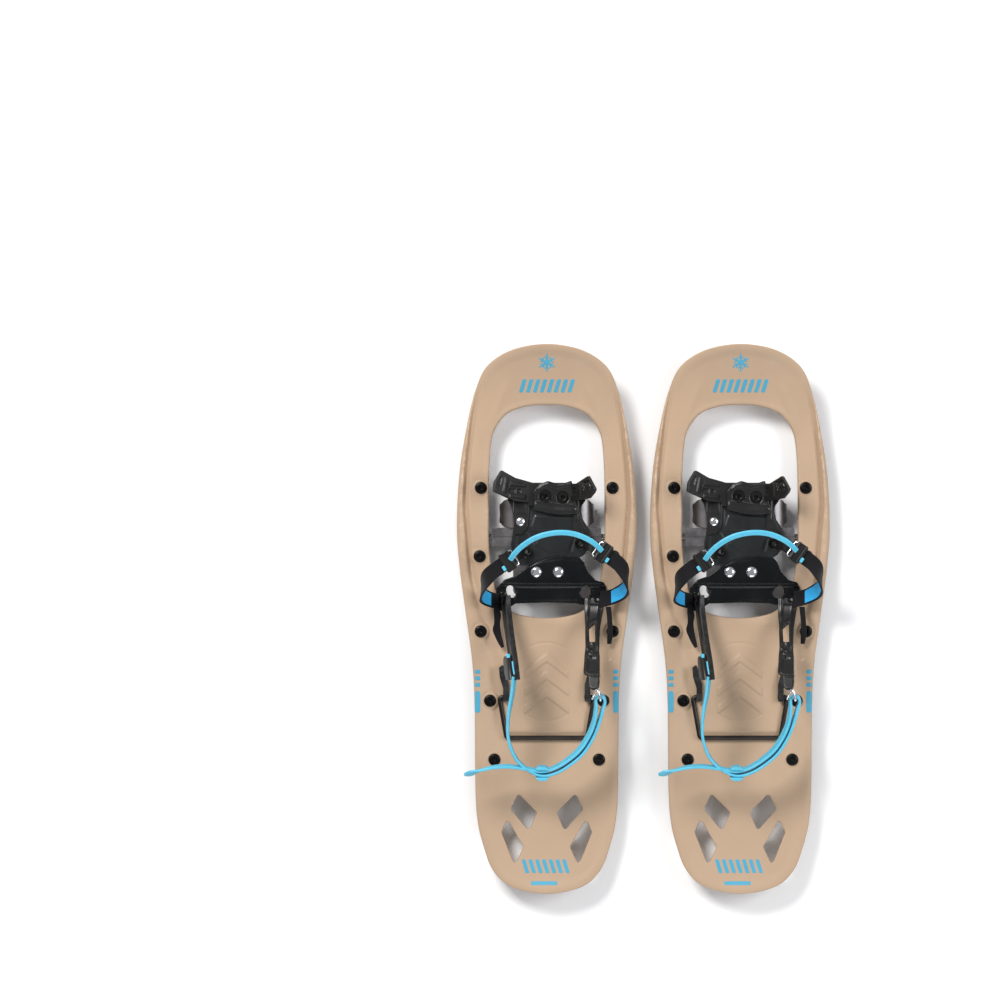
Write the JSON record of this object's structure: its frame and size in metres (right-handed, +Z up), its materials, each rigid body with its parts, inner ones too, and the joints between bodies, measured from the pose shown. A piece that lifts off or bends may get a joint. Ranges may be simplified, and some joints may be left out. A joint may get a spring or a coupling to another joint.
{
  "type": "snowshoes",
  "caption": "Pair of moulded-deck snowshoes with pivoting strap bindings, toe crampons, toothed side rails and fold-up wire heel lifters.",
  "frame": {"origin": "on the ground, in the middle of the pair", "axes": "+X from the left shoe to the right shoe, +Y towards the toes, +Z up"},
  "size_m": [0.4215, 0.62, 0.1062],
  "materials": {
    "deck_plastic": "fine moulded satin",
    "rail_steel": "dull zinc-plated",
    "black_hardware": "black oxide",
    "bright_steel": "polished",
    "black_wire": "satin black",
    "black_plastic": "moulded satin",
    "dark_plastic": "moulded satin",
    "webbing": "woven webbing",
    "blue_strap": "soft satin"
  },
  "bodies": {
    "left_shoe": {"left_deck": "deck_plastic", "left_traction_rails": "rail_steel", "left_rail_rivets": "black_hardware", "left_pivot_axle": "rail_steel", "left_axle_clips": "rail_steel", "left_lifter_brackets": "black_plastic"},
    "left_binding": {"left_pivot_bracket": "rail_steel", "left_toe_crampon": "rail_steel", "left_footbed": "dark_plastic", "left_toe_cradle": "black_plastic", "left_toe_clamp": "black_plastic", "left_toe_screws": "black_hardware", "left_bed_rivets": "bright_steel", "left_heel_plate": "dark_plastic", "left_strap_arm": "black_plastic", "left_buckle_arm": "black_plastic", "left_arm_rivets": "black_hardware", "left_long_webbing": "webbing", "left_short_webbing": "webbing", "left_webbing_tails": "webbing", "left_loop_buckles": "black_plastic", "left_instep_tongues": "webbing", "left_side_bolts": "black_hardware", "left_instep_strap": "blue_strap", "left_heel_strap": "blue_strap", "left_strap_keeper": "blue_strap", "left_heel_buckle": "bright_steel"},
    "left_lifter": {"left_lifter_bail": "black_wire"},
    "right_shoe": {"right_deck": "deck_plastic", "right_traction_rails": "rail_steel", "right_rail_rivets": "black_hardware", "right_pivot_axle": "rail_steel", "right_axle_clips": "rail_steel", "right_lifter_brackets": "black_plastic"},
    "right_binding": {"right_pivot_bracket": "rail_steel", "right_toe_crampon": "rail_steel", "right_footbed": "dark_plastic", "right_toe_cradle": "black_plastic", "right_toe_clamp": "black_plastic", "right_toe_screws": "black_hardware", "right_bed_rivets": "bright_steel", "right_heel_plate": "dark_plastic", "right_strap_arm": "black_plastic", "right_buckle_arm": "black_plastic", "right_arm_rivets": "black_hardware", "right_long_webbing": "webbing", "right_short_webbing": "webbing", "right_webbing_tails": "webbing", "right_loop_buckles": "black_plastic", "right_instep_tongues": "webbing", "right_side_bolts": "black_hardware", "right_instep_strap": "blue_strap", "right_heel_strap": "blue_strap", "right_strap_keeper": "blue_strap", "right_heel_buckle": "bright_steel"},
    "right_lifter": {"right_lifter_bail": "black_wire"}
  },
  "joints": [
    {"name": "pair_spread", "type": "slide", "parent": "left_shoe", "child": "right_shoe", "axis": [1, 0, 0], "range_m": [0, 0.1]},
    {"name": "left_binding_pivot", "type": "hinge", "parent": "left_shoe", "child": "left_binding", "pos_m": [-0.1091, 0.0926, 0.015], "axis": [-1, 0, 0], "range_deg": [0, 55]},
    {"name": "left_heel_lifter", "type": "hinge", "parent": "left_shoe", "child": "left_lifter", "pos_m": [-0.1091, -0.088, 0.0292], "axis": [-1, 0, 0], "range_deg": [0, 95]},
    {"name": "right_binding_pivot", "type": "hinge", "parent": "right_shoe", "child": "right_binding", "pos_m": [0.1091, 0.0926, 0.015], "axis": [-1, 0, 0], "range_deg": [0, 55]},
    {"name": "right_heel_lifter", "type": "hinge", "parent": "right_shoe", "child": "right_lifter", "pos_m": [0.1091, -0.088, 0.0292], "axis": [-1, 0, 0], "range_deg": [0, 95]}
  ]
}
